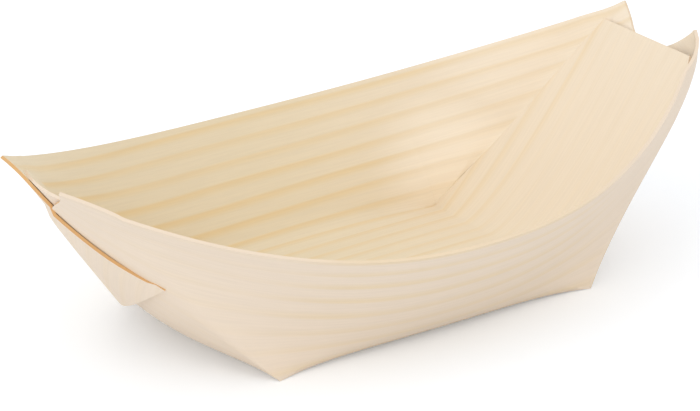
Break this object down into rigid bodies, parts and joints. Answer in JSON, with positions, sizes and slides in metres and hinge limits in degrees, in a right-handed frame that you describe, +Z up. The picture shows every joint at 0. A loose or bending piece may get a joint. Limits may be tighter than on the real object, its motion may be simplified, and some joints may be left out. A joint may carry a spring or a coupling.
{
  "type": "wooden snack boat",
  "caption": "Shallow disposable serving boat folded from a thin sheet of pine veneer, with bowed sides, raised tapered ends and crossed end flaps glued behind the ends.",
  "frame": {"origin": "middle of the flat floor, on its underside, where the boat stands", "axes": "+X along the boat, from the left end to the right end of the picture; +Y across it, away from the near side; +Z up"},
  "size_m": [0.1398, 0.0776, 0.0392],
  "materials": {
    "pine_veneer": "bare, smooth, matt",
    "wood_glue": "dried, slightly glossy"
  },
  "bodies": {
    "root": {"floor_panel": "pine_veneer", "near_side_wall": "pine_veneer", "far_side_wall": "pine_veneer", "left_end_tongue": "pine_veneer", "right_end_tongue": "pine_veneer", "near_left_flap": "pine_veneer", "far_left_flap": "pine_veneer", "near_right_flap": "pine_veneer", "far_right_flap": "pine_veneer", "left_tongue_glue": "wood_glue", "left_flap_glue": "wood_glue", "right_tongue_glue": "wood_glue", "right_flap_glue": "wood_glue"}
  },
  "joints": []
}
